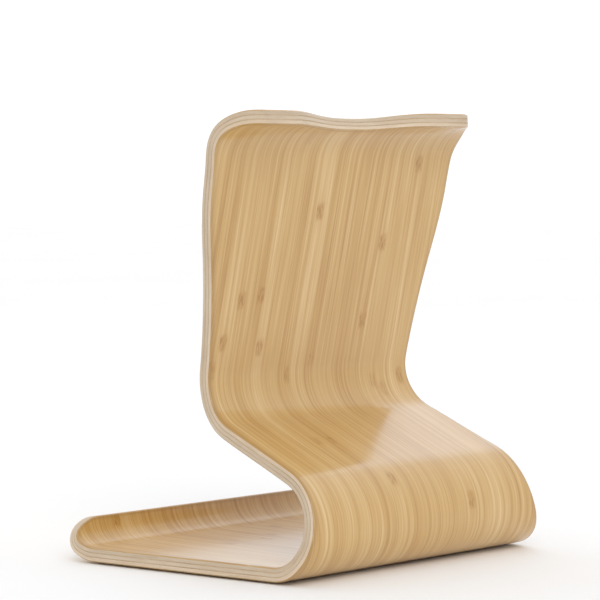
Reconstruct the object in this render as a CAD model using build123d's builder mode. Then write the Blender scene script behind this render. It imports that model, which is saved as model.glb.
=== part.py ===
from build123d import *
import os
from math import ceil, cos, degrees, radians, sin

# Desk stand bent from one laminated sheet: a low lip, a flat base, a tight rear bend, a short
# slope, a waist bend and a backrest whose top edge curls backwards.
# +Z is up, the lip is towards -Y, X runs across the sheet and the pads rest on Z = 0.
# The sheet is described by the run of its back face, which is also the underside of its base.
# Lengths along that run are measured from the back end of the flat base, positive uphill,
# and a depth is measured into the sheet, from the back face towards the face with the lip.

os.makedirs("parts", exist_ok=True)

# ---- driving dimensions, mm and degrees ----
BASE_LENGTH = 80.2  # flat of the base, between the lip bend and the rear bend
LIP_RADIUS = 15.3  # outer radius of the bend up into the lip
LIP_TURN = 80  # turn of the lip bend
LIP_TIP = 1.8  # straight of the lip above its bend
HEEL_RADIUS = 15.2  # outer radius of the lower half of the rear bend
SHOULDER_RADIUS = 25.5  # outer radius of the upper half of the rear bend
SLOPE_ANGLE = 21.8  # rise of the slope from the horizontal
SLOPE_LENGTH = 36
WAIST_RADIUS = 17.7  # hollow radius of the back face at the waist
LEAN = 10.3  # backrest from the vertical
BACK_LENGTH = 79.4  # straight of the backrest
CURL_RADIUS = 14.8  # hollow radius of the back face at the top curl

BASE_REAR_HALF = 67.2  # half width where the base meets the rear bend
BASE_SPREAD = 0.175  # half width gained per mm towards the lip
LIP_CORNER = 13.5  # radius of the lip's corners

# Half widths of the sheet along its run, from the rear bend over the waist to the top curl
SIDE = [(13, 65.5), (25, 62.1), (37, 59.3), (52, 57.6), (76, 56.8), (93, 56.1)]
SIDE += [(108, 54.6), (122, 55.2), (150, 59.1), (180, 64.2), (194, 65.1)]
# Top edge from the corner to the middle: distance from the middle, height above the curl's start
TOP = [(65.7, 9.7), (64.9, 12), (63.1, 15), (60.9, 17.9), (58.6, 20), (55.6, 21.1)]
TOP += [(51, 21.1), (45, 21.1), (37, 20.4), (28, 18), (18, 15.4), (9, 14.1)]
TOP_MIDDLE = 13.8

VENEER = 0.5
CORE_PLY = 1.2
CROSS_PLY = 0.4
# Plies from the back face inwards
PLIES = [
    ("bamboo_back_veneer", VENEER),
    ("back_core_ply", CORE_PLY),
    ("back_cross_ply", CROSS_PLY),
    ("middle_core_ply", CORE_PLY),
    ("front_cross_ply", CROSS_PLY),
    ("front_core_ply", CORE_PLY),
    ("bamboo_front_veneer", VENEER),
]

PAD_DIAMETER = 10
PAD_HEIGHT = 0.8
PAD_INSET = 13  # pad centre from the side of the base
FRONT_PAD_SETBACK = 7  # pad centre behind the lip bend
REAR_PAD_SETBACK = 8  # pad centre ahead of the rear bend

RAW_HALF_WIDTH = 96  # untrimmed sheet
RAW_OVERRUN = 5  # untrimmed sheet beyond the outline at both ends
KNIFE_MARGIN = 2  # trimming surface beyond both faces of the sheet
KNIFE_STEP = 2.5  # spacing of the trimming surface's points

# ---- worked out ----
SHEET = sum(thickness for _, thickness in PLIES)
LIP_REACH = LIP_RADIUS * sin(radians(LIP_TURN)) + LIP_TIP * cos(radians(LIP_TURN))
DEPTH = LIP_REACH + BASE_LENGTH + HEEL_RADIUS
BASE_FRONT = LIP_REACH - DEPTH / 2
BASE_REAR = DEPTH / 2 - HEEL_RADIUS
LIP_RUN = LIP_RADIUS * radians(LIP_TURN) + LIP_TIP
HEEL_TURN = 90
SHOULDER_TURN = 90 - SLOPE_ANGLE
WAIST_TURN = 90 - SLOPE_ANGLE + LEAN
CURL_TURN = degrees((max(height for _, height in TOP) + RAW_OVERRUN) / CURL_RADIUS)
REAR_BEND_RUN = HEEL_RADIUS * radians(HEEL_TURN) + SHOULDER_RADIUS * radians(SHOULDER_TURN)
WAIST_RUN = WAIST_RADIUS * radians(WAIST_TURN)
CURL_START = REAR_BEND_RUN + SLOPE_LENGTH + WAIST_RUN + BACK_LENGTH


def draw_uphill(depth):
    """Draw the run at a depth from the back end of the base to beyond the top edge."""
    heel = JernArc((BASE_REAR, PAD_HEIGHT + depth), (1, 0), HEEL_RADIUS - depth, HEEL_TURN)
    shoulder = JernArc(heel @ 1, heel % 1, SHOULDER_RADIUS - depth, SHOULDER_TURN)
    slope = Line(shoulder @ 1, shoulder @ 1 + (shoulder % 1) * SLOPE_LENGTH)
    waist = JernArc(slope @ 1, slope % 1, WAIST_RADIUS + depth, -WAIST_TURN)
    back = Line(waist @ 1, waist @ 1 + (waist % 1) * BACK_LENGTH)
    curl = JernArc(back @ 1, back % 1, CURL_RADIUS + depth, -CURL_TURN)
    return curl @ 1


def draw_lip(depth):
    """Draw the run at a depth from the front end of the base to beyond the lip's edge."""
    bend = JernArc((BASE_FRONT, PAD_HEIGHT + depth), (-1, 0), LIP_RADIUS - depth, -LIP_TURN)
    tip = Line(bend @ 1, bend @ 1 + (bend % 1) * (LIP_TIP + RAW_OVERRUN))
    return tip @ 1


def draw_run(depth):
    """Draw the whole run at a depth and return both of its ends."""
    Line((BASE_FRONT, PAD_HEIGHT + depth), (BASE_REAR, PAD_HEIGHT + depth))
    return draw_lip(depth), draw_uphill(depth)


# ---- outline of the flat sheet: X is the distance from the middle, Y the length along the run ----
LIP_EDGE = -(BASE_LENGTH + LIP_RUN)
CORNER_Y = LIP_EDGE + LIP_CORNER
CORNER_X = BASE_REAR_HALF - BASE_SPREAD * CORNER_Y
side_points = [(half, along) for along, half in SIDE]
top_points = [(across, CURL_START + height) for across, height in TOP]

with BuildLine() as outline:
    lip_side = Line((CORNER_X, CORNER_Y), (BASE_REAR_HALF, 0))
    RadiusArc((CORNER_X - LIP_CORNER, LIP_EDGE), (CORNER_X, CORNER_Y), -LIP_CORNER)
    Line((CORNER_X - LIP_CORNER, LIP_EDGE), (-KNIFE_MARGIN, LIP_EDGE))
    side = Spline(
        (BASE_REAR_HALF, 0),
        *side_points,
        *top_points,
        (0, CURL_START + TOP_MIDDLE),
        tangents=[lip_side % 1, (-1, 0)],
    )
    Line(side @ 1, side @ 1 - (KNIFE_MARGIN, 0))

with BuildLine(Plane.YZ) as back_face_uphill:
    draw_uphill(0)
with BuildLine(Plane.YZ) as back_face_lip:
    draw_lip(0)
uphill = back_face_uphill.wire()
lip = back_face_lip.wire()


def on_sheet(spot, depth):
    """Place a spot of the flat outline on the bent sheet, at a depth below the back face."""
    across, along = spot.X, spot.Y
    if along >= 0:
        foot = uphill.position_at(along, position_mode=PositionMode.LENGTH)
        heading = uphill.tangent_at(along, position_mode=PositionMode.LENGTH)
        inwards = Vector(0, -heading.Z, heading.Y)
    elif along >= -BASE_LENGTH:
        foot = Vector(0, BASE_REAR + along, PAD_HEIGHT)
        inwards = Vector(0, 0, 1)
    else:
        distance = -along - BASE_LENGTH
        foot = lip.position_at(distance, position_mode=PositionMode.LENGTH)
        heading = lip.tangent_at(distance, position_mode=PositionMode.LENGTH)
        inwards = Vector(0, heading.Z, -heading.Y)
    return foot + inwards * depth + Vector(across, 0, 0)


def knife_edge(edge, depth):
    """Carry one edge of the flat outline onto the bent sheet as a smooth curve."""
    count = max(3, ceil(edge.length / KNIFE_STEP))
    stations = [step / count for step in range(count + 1)]
    points = [on_sheet(edge @ station, depth) for station in stations]
    return Edge.make_spline(points, parameters=stations)


knife_faces = [
    Face.make_surface_from_curves(
        knife_edge(edge, -KNIFE_MARGIN), knife_edge(edge, SHEET + KNIFE_MARGIN)
    )
    for edge in outline.edges()
]
knife = Shell(knife_faces)


def make_ply(depth, thickness):
    """Make one ply of the sheet, trimmed square to its faces along the outline."""
    with BuildPart() as ply:
        with BuildSketch(Plane.YZ):
            with BuildLine():
                near_ends = draw_run(depth)
                far_ends = draw_run(depth + thickness)
                for near, far in zip(near_ends, far_ends):
                    Line(near, far)
            make_face()
        extrude(amount=RAW_HALF_WIDTH)
        split(bisect_by=knife, keep=Keep.BOTTOM)
        mirror(about=Plane.YZ)
    return ply


def make_pad(across, along):
    """Make one round pad under the base, at a distance across and along it."""
    with BuildPart() as pad:
        with BuildSketch(Plane.XY):
            with Locations((across, BASE_REAR + along)):
                Circle(PAD_DIAMETER / 2)
        extrude(amount=PAD_HEIGHT)
    return pad


def base_half_width(along):
    """Half width of the flat base at a distance along it, negative towards the lip."""
    return BASE_REAR_HALF - BASE_SPREAD * along


ply_depth = 0
for name, thickness in PLIES:
    sheet_ply = make_ply(ply_depth, thickness)
    ply_depth += thickness
    sheet_ply.part.label = name
    export_step(sheet_ply.part, f"parts/{name}.step")

pad_rows = {"front": FRONT_PAD_SETBACK - BASE_LENGTH, "rear": -REAR_PAD_SETBACK}
for row, along in pad_rows.items():
    for side_name, sign in (("right", 1), ("left", -1)):
        name = f"{row}_{side_name}_pad"
        foot_pad = make_pad(sign * (base_half_width(along) - PAD_INSET), along)
        foot_pad.part.label = name
        export_step(foot_pad.part, f"parts/{name}.step")
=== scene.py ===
from math import ceil, cos, pi, radians, sin, tan

import bpy
import numpy as np
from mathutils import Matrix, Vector


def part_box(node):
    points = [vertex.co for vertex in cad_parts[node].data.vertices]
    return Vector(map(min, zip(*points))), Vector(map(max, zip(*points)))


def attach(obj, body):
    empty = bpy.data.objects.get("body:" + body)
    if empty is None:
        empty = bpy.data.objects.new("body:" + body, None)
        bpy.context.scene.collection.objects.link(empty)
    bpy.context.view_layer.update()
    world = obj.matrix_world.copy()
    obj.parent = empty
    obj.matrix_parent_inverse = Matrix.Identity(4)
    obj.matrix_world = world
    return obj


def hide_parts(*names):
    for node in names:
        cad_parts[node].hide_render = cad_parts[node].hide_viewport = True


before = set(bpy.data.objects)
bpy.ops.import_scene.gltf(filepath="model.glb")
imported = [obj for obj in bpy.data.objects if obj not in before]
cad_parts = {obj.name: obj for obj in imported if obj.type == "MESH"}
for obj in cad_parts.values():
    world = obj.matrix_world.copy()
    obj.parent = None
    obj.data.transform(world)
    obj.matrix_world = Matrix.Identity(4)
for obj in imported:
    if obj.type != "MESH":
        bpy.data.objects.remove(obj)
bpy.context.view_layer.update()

# The stand is one laminated sheet of seven plies. Each ply is rebuilt here as a finer mesh than
# the CAD solid it replaces, with a map of the flat sheet on it, so that the grain follows the bends.
# Lengths are in mm up to the meshes, which are in metres.
MM = 0.001

# ---- driving dimensions of the CAD part, mm and degrees ----
BASE_LENGTH = 80.2
LIP_RADIUS = 15.3
LIP_TURN = 80
LIP_TIP = 1.8
HEEL_RADIUS = 15.2
HEEL_TURN = 90
SHOULDER_RADIUS = 25.5
SLOPE_ANGLE = 21.8
SLOPE_LENGTH = 36
WAIST_RADIUS = 17.7
LEAN = 10.3
BACK_LENGTH = 79.4
CURL_RADIUS = 14.8
CURL_RUN = 27
BASE_REAR_HALF = 67.2
BASE_SPREAD = 0.175
LIP_CORNER = 13.5
SIDE = [(13, 65.5), (25, 62.1), (37, 59.3), (52, 57.6), (76, 56.8), (93, 56.1)]
SIDE += [(108, 54.6), (122, 55.2), (150, 59.1), (180, 64.2), (194, 65.1)]
TOP = [(65.7, 9.7), (64.9, 12), (63.1, 15), (60.9, 17.9), (58.6, 20), (55.6, 21.1)]
TOP += [(51, 21.1), (45, 21.1), (37, 20.4), (28, 18), (18, 15.4), (9, 14.1)]
TOP_MIDDLE = 13.8
VENEER = 0.5
CORE_PLY = 1.2
CROSS_PLY = 0.4
PLIES = [
    ("bamboo_back_veneer", VENEER, "bamboo_face"),
    ("back_core_ply", CORE_PLY, "birch_core"),
    ("back_cross_ply", CROSS_PLY, "cross_grain"),
    ("middle_core_ply", CORE_PLY, "birch_core"),
    ("front_cross_ply", CROSS_PLY, "cross_grain"),
    ("front_core_ply", CORE_PLY, "birch_core"),
    ("bamboo_front_veneer", VENEER, "bamboo_face"),
]
SHEET = sum(thickness for _, thickness, _ in PLIES)
PAD_DIAMETER = 10
PAD_HEIGHT = 0.8

# ---- finish of the edges and fineness of the meshes ----
EASING = 0.8  # radius of the sanded arris on both faces
GLUE_RECESS = 0.03  # cross plies stand back from the sanded edge
SUPPORT = 0.25  # first ring of a face, inside its easing
ARRIS_FADE = 0.7  # how dark that ring still is, against the arris, which is painted darker partly for sanded wood and partly as painted shade
EDGE_RINGS = 5  # rings of points round each ply's edge
COLUMNS = 40  # on each side of the middle
BEND_STEP = 1.0
FLAT_STEP = 3.5
CORNER_ROWS = 16
BLOCK_TOP = 4.0  # height above the curl's start where the rows begin to follow the top edge

# ---- the run of the back face, from the lip's edge to beyond the top edge ----
LIP_ARC = LIP_RADIUS * radians(LIP_TURN)
SHOULDER_TURN = 90 - SLOPE_ANGLE
WAIST_TURN = 90 - SLOPE_ANGLE + LEAN
SEGMENTS = [
    (LIP_TIP, 0),
    (LIP_ARC, 1 / LIP_RADIUS),
    (BASE_LENGTH, 0),
    (HEEL_RADIUS * radians(HEEL_TURN), 1 / HEEL_RADIUS),
    (SHOULDER_RADIUS * radians(SHOULDER_TURN), 1 / SHOULDER_RADIUS),
    (SLOPE_LENGTH, 0),
    (WAIST_RADIUS * radians(WAIST_TURN), -1 / WAIST_RADIUS),
    (BACK_LENGTH, 0),
    (CURL_RUN, -1 / CURL_RADIUS),
]
LIP_EDGE = -(BASE_LENGTH + LIP_ARC + LIP_TIP)
STARTS = LIP_EDGE + np.concatenate([[0], np.cumsum([length for length, _ in SEGMENTS])])
CURL_START = STARTS[-2]
DEPTH = LIP_RADIUS * sin(radians(LIP_TURN)) + LIP_TIP * cos(radians(LIP_TURN)) + BASE_LENGTH + HEEL_RADIUS
BASE_REAR = DEPTH / 2 - HEEL_RADIUS


def sweep(foot, heading, bend, distance):
    """Point and heading at a distance along a segment of constant bend."""
    turned = heading + bend * distance
    if bend == 0:
        step = np.stack([np.cos(turned) * distance, np.sin(turned) * distance], -1)
    else:
        step = np.stack([np.sin(turned) - np.sin(heading), np.cos(heading) - np.cos(turned)], -1) / bend
    return foot + step, turned


def segment_starts():
    """Start point and heading of every segment, placed so that the base ends where the CAD's does."""
    foot, heading = np.zeros(2), -radians(LIP_TURN)
    feet, headings = [foot], [heading]
    for length, bend in SEGMENTS:
        foot, heading = sweep(foot, heading, bend, length)
        feet.append(foot)
        headings.append(heading)
    base_end = feet[3]
    shift = np.array([BASE_REAR, PAD_HEIGHT]) - base_end
    return [foot + shift for foot in feet], headings


FEET, HEADINGS = segment_starts()


def bend_sheet(flat, depth):
    """Carry points of the flat sheet (across, along) onto the bent sheet, at a depth from its back face."""
    across, along = flat[:, 0], flat[:, 1]
    placed = np.zeros((len(flat), 3))
    index = np.clip(np.searchsorted(STARTS, along, side="right") - 1, 0, len(SEGMENTS) - 1)
    for number, (_, bend) in enumerate(SEGMENTS):
        here = index == number
        foot, heading = sweep(FEET[number], HEADINGS[number], bend, along[here] - STARTS[number])
        inwards = np.stack([-np.sin(heading), np.cos(heading)], -1)
        placed[here, 1:] = foot + inwards * depth
    placed[:, 0] = across
    return placed


# ---- the outline of the flat sheet, one side of the middle ----
FRONT_POINTS, CORNER_POINTS, SIDE_POINTS = 400, 160, 600  # on the straight, round and straight stretches
TRACE_STEP = 0.1  # spacing of the points, at most, on the curve from there to the top
CORNER_Y = LIP_EDGE + LIP_CORNER
CORNER_X = BASE_REAR_HALF - BASE_SPREAD * CORNER_Y


def smooth_through(points, first, last):
    """Closely spaced points on the smooth curve through the given ones, with given end directions."""
    points = np.array(points, float)
    gaps = np.hypot(*np.diff(points, axis=0).T)
    count = len(points)
    system, wanted = np.zeros((count, count)), np.zeros((count, 2))
    system[0, 0] = system[-1, -1] = 1
    wanted[0], wanted[-1] = first, last
    slopes = np.diff(points, axis=0) / gaps[:, None]
    for i in range(1, count - 1):
        system[i, i - 1 : i + 2] = gaps[i], 2 * (gaps[i - 1] + gaps[i]), gaps[i - 1]
        wanted[i] = 3 * (gaps[i] * slopes[i - 1] + gaps[i - 1] * slopes[i])
    speed = np.linalg.solve(system, wanted)
    curve = []
    for i, gap in enumerate(gaps):
        t = np.linspace(0, 1, ceil(gap / TRACE_STEP), endpoint=False)[:, None]
        curve.append(
            (2 * t**3 - 3 * t**2 + 1) * points[i]
            + (t**3 - 2 * t**2 + t) * gap * speed[i]
            + (3 * t**2 - 2 * t**3) * points[i + 1]
            + (t**3 - t**2) * gap * speed[i + 1]
        )
    return np.concatenate([*curve, points[-1:]])


def trace_outline():
    """The outline from the middle of the lip's edge, round the side, to the middle of the top edge."""
    front = np.linspace((0, LIP_EDGE), (CORNER_X - LIP_CORNER, LIP_EDGE), FRONT_POINTS)
    turn = np.linspace(0, pi / 2, CORNER_POINTS)[:, None]
    corner = (CORNER_X - LIP_CORNER, CORNER_Y) + LIP_CORNER * np.hstack([np.sin(turn), -np.cos(turn)])
    side = np.linspace((CORNER_X, CORNER_Y), (BASE_REAR_HALF, 0), SIDE_POINTS)
    direction = side[-1] - side[0]
    upper = [(BASE_REAR_HALF, 0)] + [(half, along) for along, half in SIDE]
    upper += [(across, CURL_START + height) for across, height in TOP] + [(0, CURL_START + TOP_MIDDLE)]
    curve = smooth_through(upper, direction / np.hypot(*direction), (-1, 0))
    return np.concatenate([front[:-1], corner[:-1], side[:-1], curve])


OUTLINE = trace_outline()
LENGTHS = np.concatenate([[0], np.cumsum(np.hypot(*np.diff(OUTLINE, axis=0).T))])
TANGENTS = np.gradient(OUTLINE, LENGTHS, axis=0)
OUTWARDS = np.stack([TANGENTS[:, 1], -TANGENTS[:, 0]], -1)
OUTWARDS /= np.linalg.norm(OUTWARDS, axis=1)[:, None]


def on_outline(length, inset=0.0):
    """Points at lengths along the outline, moved inwards by an inset."""
    point = np.stack([np.interp(length, LENGTHS, OUTLINE[:, i]) for i in (0, 1)], -1)
    outwards = np.stack([np.interp(length, LENGTHS, OUTWARDS[:, i]) for i in (0, 1)], -1)
    return point - outwards * inset


def length_where(axis, value, low, high):
    """Length along the outline, between two lengths, at which one coordinate has a value."""
    chosen = (LENGTHS >= low) & (LENGTHS <= high)
    order = np.argsort(OUTLINE[chosen, axis])
    return np.interp(value, OUTLINE[chosen, axis][order], LENGTHS[chosen][order])


# Lengths along the outline where the mesh's rows turn into its columns
ARC_START = CORNER_X - LIP_CORNER
LIP_TURNING = ARC_START + LIP_CORNER * pi / 4
SIDE_START = ARC_START + LIP_CORNER * pi / 2
TOP_START = length_where(1, CURL_START + BLOCK_TOP, SIDE_START, LENGTHS[np.argmax(OUTLINE[:, 1])])
TOP_TURNING = LENGTHS[(LENGTHS > TOP_START) & (OUTWARDS[:, 1] > OUTWARDS[:, 0])][0]


def row_stations():
    """Positions along the run of the mesh's straight rows, closer together in the bends."""
    ends = [CORNER_Y, *[s for s in STARTS if CORNER_Y < s < CURL_START + BLOCK_TOP], CURL_START + BLOCK_TOP]
    stations = []
    for low, high in zip(ends, ends[1:]):
        middle = (low + high) / 2
        bend = SEGMENTS[np.searchsorted(STARTS, middle) - 1][1]
        count = ceil((high - low) / (BEND_STEP if bend else FLAT_STEP))
        stations += list(np.linspace(low, high, count, endpoint=False))
    return np.array([*stations, ends[-1]])


ROWS = row_stations()
SHARES = np.linspace(0, 1, COLUMNS + 1)


def patch(inner, outer, near, far):
    """Grid of points between four curves: rows run from inner to outer, columns from near to far."""
    u, v = np.meshgrid(np.linspace(0, 1, len(near)), np.linspace(0, 1, len(inner)))
    u, v = u[..., None], v[..., None]
    blend = (1 - u) * inner[:, None] + u * outer[:, None] + (1 - v) * near[None] + v * far[None]
    corners = (1 - u) * (1 - v) * near[0] + u * (1 - v) * near[-1]
    return blend - corners - (1 - u) * v * far[0] - u * v * far[-1]


def half_grid(inset):
    """Rows of points of the flat sheet, from its middle to its outline less an inset."""
    edge = on_outline(length_where(1, ROWS, SIDE_START, TOP_START), inset)
    middle = np.stack([0 * ROWS, ROWS], -1)
    straight = middle[:, None] * (1 - SHARES[:, None]) + edge[:, None] * SHARES[:, None]
    lip_edge = on_outline(np.linspace(0, LIP_TURNING, COLUMNS + 1), inset)
    lip_side = on_outline(np.linspace(LIP_TURNING, SIDE_START, CORNER_ROWS + 1), inset)
    lip_middle = np.linspace(lip_edge[0], middle[0], CORNER_ROWS + 1)
    lip = patch(lip_middle, lip_side, lip_edge, straight[0])
    top_edge = on_outline(np.linspace(LENGTHS[-1], TOP_TURNING, COLUMNS + 1), inset)
    top_side = on_outline(np.linspace(TOP_START, TOP_TURNING, CORNER_ROWS + 1), inset)
    top_middle = np.linspace(middle[-1], top_edge[0], CORNER_ROWS + 1)
    top = patch(top_middle, top_side, straight[-1], top_edge)
    return np.concatenate([lip[:-1], straight, top[1:]])


def whole_grid(inset):
    """The same for the whole width, from left to right."""
    right = half_grid(inset)
    return np.concatenate([right[:, :0:-1] * (-1, 1), right], axis=1)


def rim_lengths():
    """Length along the outline of each point of the rim, from the middle of the lip to that of the top."""
    lip_edge = np.linspace(0, LIP_TURNING, COLUMNS + 1)
    lip_side = np.linspace(LIP_TURNING, SIDE_START, CORNER_ROWS + 1)
    side = length_where(1, ROWS, SIDE_START, TOP_START)
    top_side = np.linspace(TOP_START, TOP_TURNING, CORNER_ROWS + 1)
    top_edge = np.linspace(TOP_TURNING, LENGTHS[-1], COLUMNS + 1)
    return np.concatenate([lip_edge, lip_side[1:], side[1:], top_side[1:], top_edge[1:]])


RIM = rim_lengths()


def rim(inset):
    """Points of the whole outline less an inset, anticlockwise from the middle of the lip's edge."""
    right = on_outline(RIM, inset)
    return np.concatenate([right, right[-2:0:-1] * (-1, 1)])


RIM_TRAVEL = np.concatenate([RIM, 2 * RIM[-1] - RIM[-2:0:-1]])
GRID_SHAPE = whole_grid(0).shape[:2]


def grid_rim():
    """Indices of a grid's outermost points, in the order of rim()."""
    height, width = GRID_SHAPE
    index = np.arange(height * width).reshape(height, width)
    lower = list(index[0, COLUMNS:])
    right = list(index[1:, -1])
    upper = list(index[-1, -2::-1])
    left = list(index[-2:0:-1, 0])
    return np.array(lower + right + upper + left + list(index[0, :COLUMNS]))


GRID_RIM = grid_rim()


# ---- materials ----
GRAIN_SKEW = radians(2.6)  # grain of the veneer against the length of the sheet
GRAIN_WANDER = 0.0016
STRIP_WIDTH = 0.0052
KNUCKLE_SPACING = 0.13  # along one strip
KNUCKLE_REACH = 0.0044  # half length of a knuckle
KNUCKLE_HALO = 0.012


class Paint:
    """The node tree of one material, with its shader's plain values set on the shader's own sockets."""

    def __init__(self, name, **settings):
        self.material = bpy.data.materials.new(name)
        self.material.use_nodes = True
        self.nodes = self.material.node_tree.nodes
        self.links = self.material.node_tree.links
        self.shader = self.nodes["Principled BSDF"]
        for socket, value in settings.items():
            self.shader.inputs[socket.replace("_", " ")].default_value = value

    def node(self, kind, sockets, **options):
        """Add a node; a socket's value may be a number, a tuple or another node's output."""
        made = self.nodes.new("ShaderNode" + kind)
        for option, value in options.items():
            setattr(made, option, value)
        for socket, value in sockets.items():
            if isinstance(value, bpy.types.NodeSocket):
                self.links.new(value, made.inputs[socket])
            else:
                made.inputs[socket].default_value = value
        return made

    def math(self, operation, *values):
        return self.node("Math", dict(enumerate(values)), operation=operation).outputs[0]

    def noise(self, vector, scale=1.0, detail=2.0, roughness=0.5):
        sockets = {"Vector": vector, "Scale": scale, "Detail": detail, "Roughness": roughness}
        return self.node("TexNoise", sockets).outputs[0]

    def stretched(self, vector, first, second):
        """The vector with its first two coordinates scaled."""
        return self.node("VectorMath", {0: vector, 1: (first, second, 1)}, operation="MULTIPLY").outputs[0]

    def between(self, value, low, high, smooth=True):
        """0 below low, 1 above high."""
        sockets = {"Value": value, "From Min": low, "From Max": high}
        kind = "SMOOTHSTEP" if smooth else "LINEAR"
        return self.node("MapRange", sockets, interpolation_type=kind).outputs[0]

    def mix(self, share, first, second):
        """The first colour, with a share of the second."""
        return self.node("Mix", {0: share, 6: first, 7: second}, data_type="RGBA").outputs[2]

    def ramp(self, value, stops):
        """The colour at a value, between stops of place and colour."""
        made = self.node("ValToRGB", {0: value})
        steps = made.color_ramp.elements
        while len(steps) < len(stops):
            steps.new(0.5)
        for step, (place, colour) in zip(steps, stops):
            step.position = place
            step.color = (*colour, 1)
        return made.outputs[0]

    def wear(self, colour, roughness=None, height=None, strength=0.1, distance=0.0002):
        """Connect the surface's colour, roughness and bump, and return the material."""
        self.links.new(colour, self.shader.inputs["Base Color"])
        if roughness is not None:
            self.links.new(roughness, self.shader.inputs["Roughness"])
        if height is not None:
            sockets = {"Height": height, "Strength": strength, "Distance": distance}
            self.links.new(self.node("Bump", sockets).outputs[0], self.shader.inputs["Normal"])
        return self.material


def bamboo():
    """Lacquered bamboo veneer: narrow strips side by side, each with its own tone, fibres and knuckles."""
    p = Paint("bamboo_face_lacquered", Coat_Weight=1.0, Coat_Roughness=0.2, Coat_IOR=1.5)
    sheet = p.node("UVMap", {}, uv_map="sheet").outputs[0]
    parts = p.node("SeparateXYZ", {0: sheet}).outputs
    along = parts[1]
    wander = p.math("SUBTRACT", p.noise(p.stretched(sheet, 22, 6), 1, 1), 0.5)
    skewed = p.math("ADD", parts[0], p.math("MULTIPLY", along, tan(GRAIN_SKEW)))
    across = p.math("ADD", skewed, p.math("MULTIPLY", wander, GRAIN_WANDER))

    strip_place = p.math("MULTIPLY", across, 1 / STRIP_WIDTH)
    cells = {"W": strip_place, "Scale": 1, "Randomness": 0.9}
    strip = p.node("TexVoronoi", cells, voronoi_dimensions="1D")
    strip_tone = p.node("SeparateColor", {0: strip.outputs["Color"]}).outputs
    soft_cells = cells | {"Smoothness": 0.35}
    soft_strip = p.node("TexVoronoi", soft_cells, voronoi_dimensions="1D", feature="SMOOTH_F1")
    soft_tone = p.node("SeparateColor", {0: soft_strip.outputs["Color"]}).outputs[0]

    lines = p.node("CombineXYZ", {0: across, 1: along}).outputs[0]
    band = p.noise(p.stretched(lines, 330, 4), 1, 2, 0.5)
    streak = p.noise(p.stretched(lines, 850, 9), 1, 2, 0.55)
    fibre = p.noise(p.stretched(lines, 2300, 26), 1, 3, 0.6)
    cloud = p.noise(p.stretched(lines, 60, 16), 1, 2)
    tone = p.math("MULTIPLY", soft_tone, 0.15)
    for layer, share in ((band, 0.42), (streak, 0.75), (fibre, 0.6), (cloud, 0.22)):
        tone = p.math("ADD", tone, p.math("MULTIPLY", layer, share))
    colour = p.ramp(
        p.between(tone, 0.76, 1.38, smooth=False),
        [
            (0.0, (0.42, 0.215, 0.050)),
            (0.35, (0.54, 0.315, 0.088)),
            (0.6, (0.61, 0.385, 0.136)),
            (1.0, (0.72, 0.52, 0.26)),
        ],
    )

    phase = p.math("MULTIPLY", strip_tone[1], 9)
    place = p.math("ADD", p.math("MULTIPLY", along, 1 / KNUCKLE_SPACING), phase)
    turned = p.math("SUBTRACT", p.math("FRACT", place), 0.5)
    offset = p.math("ABSOLUTE", p.math("MULTIPLY", turned, KNUCKLE_SPACING))
    cell = {0: p.math("FLOOR", place), 1: p.math("MULTIPLY", strip_tone[2], 50)}
    chance = p.node("CombineXYZ", cell).outputs[0]
    draw = p.node("TexWhiteNoise", {"Vector": chance}, noise_dimensions="2D").outputs[0]
    present = p.between(draw, 0.42, 0.95)
    within = p.math("MULTIPLY", p.between(strip.outputs["Distance"], 0.5, 0.2), present)
    knuckle = p.math("MULTIPLY", p.between(offset, KNUCKLE_REACH, 0.0012), within)
    dash = p.math("MULTIPLY", p.between(p.noise(p.stretched(lines, 1500, 330), 1, 2), 0.44, 0.62), knuckle)
    halo = p.math("MULTIPLY", p.between(offset, KNUCKLE_HALO, 0.0), within)
    colour = p.mix(p.math("MULTIPLY", halo, 0.3), colour, (0.50, 0.27, 0.06, 1))
    colour = p.mix(p.math("MULTIPLY", knuckle, 0.6), colour, (0.48, 0.25, 0.045, 1))
    colour = p.mix(p.math("MULTIPLY", dash, 0.7), colour, (0.34, 0.155, 0.02, 1))
    # Partly painted shade: the veneer is darker round its arris, partly for the sanded wood and partly as
    # painted shade on the rounded edge.
    arris_sanding_and_shade = p.node("Attribute", {}, attribute_name="arris").outputs["Fac"]
    colour = p.mix(p.math("MULTIPLY", arris_sanding_and_shade, 0.5), colour, (0.36, 0.20, 0.06, 1))
    rough = p.math("ADD", p.math("MULTIPLY", fibre, 0.18), 0.38)
    dent = p.math("MULTIPLY", dash, 0.3)
    height = p.math("SUBTRACT", p.math("ADD", fibre, p.math("MULTIPLY", streak, 0.6)), dent)
    return p.wear(colour, rough, height)


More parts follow.
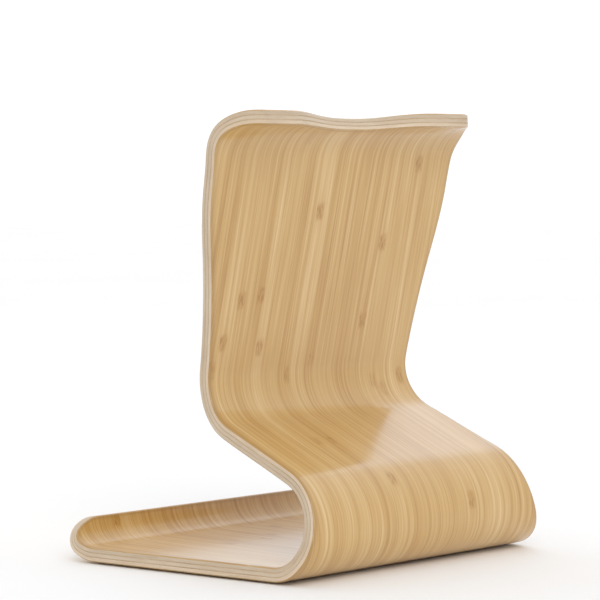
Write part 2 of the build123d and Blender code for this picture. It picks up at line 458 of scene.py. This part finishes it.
def birch(name, shade):
    """Sanded edge of a core ply, its colours scaled by a given shade: pale, with fibres along the edge and
    a few pores.
    """
    p = Paint(name, Coat_Weight=0.2, Coat_Roughness=0.35)
    edge = p.node("UVMap", {}, uv_map="sheet").outputs[0]
    fibre = p.noise(p.stretched(edge, 160, 5200), 1, 3, 0.6)
    cloud = p.noise(p.stretched(edge, 38, 300), 1, 2)
    tone = p.math("ADD", p.math("MULTIPLY", fibre, 0.6), p.math("MULTIPLY", cloud, 0.4))
    tints = [(0.0, (0.52, 0.385, 0.25)), (0.5, (0.66, 0.525, 0.375)), (1.0, (0.76, 0.64, 0.49))]
    colour = p.ramp(
        p.between(tone, 0.3, 0.7, smooth=False),
        [(place, tuple(shade * part for part in tint)) for place, tint in tints],
    )
    pore = p.between(p.noise(p.stretched(edge, 900, 3800), 1, 1), 0.68, 0.76)
    colour = p.mix(p.math("MULTIPLY", pore, 0.4), colour, (0.36, 0.25, 0.15, 1))
    stain = p.between(p.noise(p.stretched(edge, 55, 55), 1, 3, 0.6), 0.69, 0.75)
    colour = p.mix(p.math("MULTIPLY", stain, 0.7), colour, (0.50, 0.31, 0.10, 1))
    rough = p.math("ADD", p.math("MULTIPLY", fibre, 0.2), 0.42)
    return p.wear(colour, rough, p.math("SUBTRACT", fibre, pore), strength=0.2, distance=0.00015)


def cross_grain():
    """Edge of a cross ply and its glue lines: thin, darker and broken by end grain."""
    p = Paint("cross_ply_edge")
    edge = p.node("UVMap", {}, uv_map="sheet").outputs[0]
    grain = p.noise(p.stretched(edge, 1500, 3000), 1, 3, 0.6)
    cloud = p.noise(p.stretched(edge, 45, 0), 1, 2)
    tone = p.math("ADD", p.math("MULTIPLY", grain, 0.5), p.math("MULTIPLY", cloud, 0.5))
    colour = p.ramp(
        p.between(tone, 0.34, 0.66, smooth=False),
        [(0.0, (0.36, 0.24, 0.135)), (0.5, (0.50, 0.36, 0.225)), (1.0, (0.62, 0.48, 0.33))],
    )
    rough = p.math("ADD", p.math("MULTIPLY", grain, 0.2), 0.5)
    return p.wear(colour, rough, grain, strength=0.25, distance=0.00015)


def rubber():
    """Soft dark pad with a fine moulded grain."""
    p = Paint("pad_rubber_grained")
    place = p.node("TexCoord", {}).outputs["Object"]
    grain = p.noise(place, 2400, 3, 0.6)
    dust = p.noise(place, 220, 2)
    colour = p.ramp(
        p.between(p.math("ADD", p.math("MULTIPLY", grain, 0.4), p.math("MULTIPLY", dust, 0.6)), 0.3, 0.7),
        [(0.0, (0.016, 0.016, 0.017)), (1.0, (0.045, 0.044, 0.042))],
    )
    rough = p.math("ADD", p.math("MULTIPLY", grain, 0.3), 0.55)
    return p.wear(colour, rough, grain, strength=0.3, distance=0.0001)


def paper():
    """Pale floor with the faintest cloud."""
    p = Paint("pale_floor", Roughness=0.8)
    place = p.node("TexCoord", {}).outputs["Object"]
    colour = p.ramp(p.noise(place, 3, 2), [(0.3, (0.94, 0.94, 0.94)), (0.7, (0.96, 0.96, 0.96))])
    return p.wear(colour)


# By slot, except that the core plies are copies of one birch material, each scaled by its own factor,
# darker towards the front
MATERIALS = {
    "bamboo_face": bamboo(),
    "back_core_ply": birch("back_core_birch", 1.02),
    "middle_core_ply": birch("middle_core_birch", 0.92),
    "front_core_ply": birch("front_core_birch", 0.88),
    "cross_grain": cross_grain(),
    "pad_rubber": rubber(),
}


def edge_inset(depth):
    """How far the edge, rounded over by sanding, stands back at a depth."""
    near = min(depth, SHEET - depth)
    return EASING - (EASING**2 - (EASING - near) ** 2) ** 0.5 if near < EASING else 0


def rim_depths(depth, thickness):
    """Depths of the rings round a ply's edge, closer together where the edge is rounded."""
    shares = np.linspace(0, 1, EDGE_RINGS)
    if depth < EASING:
        return depth + thickness * shares**2
    if depth + thickness > SHEET - EASING:
        return depth + thickness * (1 - (1 - shares) ** 2)
    return depth + thickness * shares


def quads_between(low, high):
    """Faces between two rings of points."""
    return np.stack([low, np.roll(low, -1), np.roll(high, -1), high], -1)


def make_ply(name, depth, thickness, slot, map_shift):
    """Build one ply as a closed mesh, with the flat sheet's own coordinates as its map."""
    recess = GLUE_RECESS if slot == "cross_grain" else 0
    depths = rim_depths(depth, thickness)
    insets = [edge_inset(deep) + recess for deep in depths]
    rings = [rim(inset) for inset in insets]
    sheets = [whole_grid(inset + SUPPORT).reshape(-1, 2) for inset in (insets[0], insets[-1])]
    layers = [sheets[0], *rings, sheets[1]]
    layer_depths = [depths[0], *depths, depths[-1]]
    starts = np.concatenate([[0], np.cumsum([len(layer) for layer in layers])])
    points = np.concatenate([bend_sheet(layer, deep) for layer, deep in zip(layers, layer_depths)])
    flat = np.concatenate(layers)

    index = np.arange(GRID_SHAPE[0] * GRID_SHAPE[1]).reshape(GRID_SHAPE)
    grid = np.stack([index[:-1, :-1], index[:-1, 1:], index[1:, 1:], index[1:, :-1]], -1).reshape(-1, 4)
    loops = [GRID_RIM + starts[0]]
    loops += [np.arange(len(rings[0])) + start for start in starts[1:-2]]
    loops.append(GRID_RIM + starts[-2])
    bands = [quads_between(low, high) for low, high in zip(loops, loops[1:])]
    faces = np.concatenate([grid[:, ::-1] + starts[0], grid + starts[-2], *bands])

    mapped = flat[faces]
    if slot != "bamboo_face":
        # An inner ply shows only its edge, which is mapped by length round it and depth.
        travel = np.append(RIM_TRAVEL, 2 * RIM[-1])
        near, far = travel[:-1], travel[1:]
        edge_depths = [layer_depths[0], *depths, layer_depths[-1]]
        for number in range(len(bands)):
            low, high = np.full(len(near), edge_depths[number]), np.full(len(near), edge_depths[number + 1])
            band = np.stack([near, low, far, low, far, high, near, high], -1).reshape(-1, 4, 2)
            first = 2 * len(grid) + number * len(near)
            mapped[first : first + len(near)] = band

    mesh = bpy.data.meshes.new(name)
    mesh.from_pydata((points * MM).tolist(), [], faces.tolist())
    uv = mesh.uv_layers.new(name="sheet")
    uv.data.foreach_set("uv", ((mapped + map_shift) * MM).astype(np.float32).ravel())
    mesh.polygons.foreach_set("use_smooth", [True] * len(mesh.polygons))
    # Mask of the veneer's darker arris, partly sanded wood and partly painted shade: 1 on the edge rings,
    # less on each face's first ring.
    arris_sanding_and_shade = np.zeros(len(points), np.float32)
    arris_sanding_and_shade[starts[1] : starts[-2]] = 1
    arris_sanding_and_shade[GRID_RIM + starts[0]] = arris_sanding_and_shade[GRID_RIM + starts[-2]] = ARRIS_FADE
    mesh.attributes.new("arris", "FLOAT", "POINT").data.foreach_set("value", arris_sanding_and_shade)

    # The faces meet the sanded edge sharply, except where the outer plies are rounded over.
    creases = []
    if depth > 0:
        creases.append(loops[1])
    if depth + thickness < SHEET - EASING / 2:
        creases.append(loops[-2])
    ends = np.zeros(len(mesh.edges) * 2, int)
    mesh.edges.foreach_get("vertices", ends)
    ends = ends.reshape(-1, 2)
    sharp = np.zeros(len(ends), bool)
    for crease in creases:
        sharp |= np.isin(ends, crease).all(1)
    mesh.attributes.new("sharp_edge", "BOOLEAN", "EDGE").data.foreach_set("value", sharp)
    mesh.update()

    piece = bpy.data.objects.new(name + "_wood", mesh)
    bpy.context.scene.collection.objects.link(piece)
    piece.data.materials.append(MATERIALS[name if slot == "birch_core" else slot])
    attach(piece, "root")
    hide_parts(name)


FRONT_MAP_SHIFT = (310, 700)  # another part of the veneer, so that the two faces differ
ply_depth = 0
for name, thickness, slot in PLIES:
    map_shift = FRONT_MAP_SHIFT if name == "bamboo_front_veneer" else (0, 0)
    make_ply(name, ply_depth, thickness, slot, map_shift)
    ply_depth += thickness


# ---- pads ----
PAD_ROUNDING = 0.25
PAD_DISH = 0.12  # hollow in the pad's sole
PAD_SIDES = 96
ROUNDING_STEPS = 6


def pad_profile():
    """Radius and height of the pad's section, from the middle of its top to that of its dished sole."""
    outer = PAD_DIAMETER / 2
    section = [(0, PAD_HEIGHT), (outer * 0.6, PAD_HEIGHT), (outer, PAD_HEIGHT), (outer, PAD_ROUNDING)]
    for turn in np.linspace(0, pi / 2, ROUNDING_STEPS + 1)[1:]:
        section.append((outer - PAD_ROUNDING * (1 - cos(turn)), PAD_ROUNDING * (1 - sin(turn))))
    ring = outer - PAD_ROUNDING
    section += [(ring * 0.86, 0), (ring * 0.8, PAD_DISH * 0.3), (ring * 0.74, PAD_DISH * 0.85)]
    section += [(ring * 0.66, PAD_DISH), (ring * 0.3, PAD_DISH), (0, PAD_DISH)]
    return section


def make_pad(name):
    """Turn the pad's section round the middle of its CAD node."""
    low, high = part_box(name)
    middle = (low + high) / 2
    section = pad_profile()
    points, faces = [(middle.x, middle.y, section[0][1] * MM)], []
    for radius, height in section[1:-1]:
        for side in range(PAD_SIDES):
            turn = 2 * pi * side / PAD_SIDES
            east, north = radius * cos(turn) * MM, radius * sin(turn) * MM
            points.append((middle.x + east, middle.y + north, height * MM))
    points.append((middle.x, middle.y, section[-1][1] * MM))
    rings = len(section) - 2
    for side in range(PAD_SIDES):
        after = (side + 1) % PAD_SIDES
        faces.append((0, 1 + side, 1 + after))
        for ring in range(rings - 1):
            low_row, high_row = 1 + ring * PAD_SIDES, 1 + (ring + 1) * PAD_SIDES
            faces.append((low_row + side, high_row + side, high_row + after, low_row + after))
        last = 1 + (rings - 1) * PAD_SIDES
        faces.append((last + side, len(points) - 1, last + after))
    mesh = bpy.data.meshes.new(name)
    mesh.from_pydata(points, [], faces)
    for face in mesh.polygons:
        face.use_smooth = True
    mesh.set_sharp_from_angle(angle=radians(50))
    piece = bpy.data.objects.new(name + "_rubber", mesh)
    bpy.context.scene.collection.objects.link(piece)
    piece.data.materials.append(MATERIALS["pad_rubber"])
    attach(piece, "root")
    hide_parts(name)


for name in ("front_right_pad", "front_left_pad", "rear_right_pad", "rear_left_pad"):
    make_pad(name)


# ---- floor, light and camera ----
FLOOR_HALF = 4.0
BACKDROP_SIDE = (-0.72, -0.70, 0)
BACKDROP_LEVEL = 1.08
ROOM_LEVEL = 0.64
ROOM_ENDS = -0.5  # cosine of the angle to the backdrop's side at which it starts to brighten
BACKDROP_STARTS = 0.45  # and at which it is fully lit


def make_floor():
    """A pale square floor, level with the pads' soles."""
    mesh = bpy.data.meshes.new("floor")
    corners = [(x * FLOOR_HALF, y * FLOOR_HALF, 0) for x, y in ((-1, -1), (1, -1), (1, 1), (-1, 1))]
    mesh.from_pydata(corners, [], [(0, 1, 2, 3)])
    floor = bpy.data.objects.new("floor", mesh)
    bpy.context.scene.collection.objects.link(floor)
    mesh.materials.append(paper())


def make_sun(name, place, strength, angle):
    """A soft sun that shines from the direction of a place towards the origin."""
    data = bpy.data.lights.new(name, "SUN")
    data.energy = strength
    data.angle = radians(angle)
    light = bpy.data.objects.new(name, data)
    light.location = place
    light.rotation_euler = Vector(place).to_track_quat("Z", "Y").to_euler()
    bpy.context.scene.collection.objects.link(light)


def make_panel(name, place, target, size, power, colour):
    """A square soft panel at a place, turned to a target."""
    data = bpy.data.lights.new(name, "AREA")
    data.shape = "SQUARE"
    data.size = size
    data.energy = power
    data.color = colour
    light = bpy.data.objects.new(name, data)
    light.location = place
    light.rotation_euler = (Vector(target) - Vector(place)).to_track_quat("-Z", "Y").to_euler()
    bpy.context.scene.collection.objects.link(light)


def make_world():
    """A studio that is white behind the stand and dimmer on the side it is seen from."""
    world = bpy.data.worlds.new("studio")
    world.use_nodes = True
    nodes, links = world.node_tree.nodes, world.node_tree.links
    direction = nodes.new("ShaderNodeTexCoord").outputs["Generated"]
    facing = nodes.new("ShaderNodeVectorMath")
    facing.operation = "DOT_PRODUCT"
    facing.inputs[1].default_value = BACKDROP_SIDE
    links.new(direction, facing.inputs[0])
    level = nodes.new("ShaderNodeMapRange")
    level.interpolation_type = "SMOOTHSTEP"
    level.inputs["From Min"].default_value = ROOM_ENDS
    level.inputs["From Max"].default_value = BACKDROP_STARTS
    level.inputs["To Min"].default_value = ROOM_LEVEL
    level.inputs["To Max"].default_value = BACKDROP_LEVEL
    links.new(facing.outputs["Value"], level.inputs["Value"])
    links.new(level.outputs[0], nodes["Background"].inputs["Strength"])
    nodes["Background"].inputs["Color"].default_value = (1, 1, 1, 1)
    bpy.context.scene.world = world


make_floor()
make_world()
make_sun("key", place=(0.54, 0.76, 0.72), strength=0.94, angle=45)
make_panel(
    "rim", place=(-0.95, -0.62, 0.75), target=(0, 0.02, 0.06), size=0.8, power=0.9, colour=(0.62, 0.76, 1.0)
)
bpy.context.scene.view_settings.view_transform = "Standard"

CAMERA_LENS = 149.8
CAMERA_PLACE = (0.6888, 0.6587, 0.1482)
CAMERA_AZIMUTH = 134.21  # degrees from a view along +Y
CAMERA_FALL = 3.08  # degrees below the level
camera_data = bpy.data.cameras.new("camera")
camera_data.lens = CAMERA_LENS
camera_data.sensor_width = 36
camera = bpy.data.objects.new("camera", camera_data)
camera.location = CAMERA_PLACE
azimuth, fall = radians(CAMERA_AZIMUTH), radians(CAMERA_FALL)
back = Vector((sin(azimuth) * cos(fall), -cos(azimuth) * cos(fall), sin(fall)))
camera.rotation_euler = (-back).to_track_quat("-Z", "Y").to_euler()
camera_data.clip_start, camera_data.clip_end = 0.05, 30
bpy.context.scene.collection.objects.link(camera)
bpy.context.scene.camera = camera
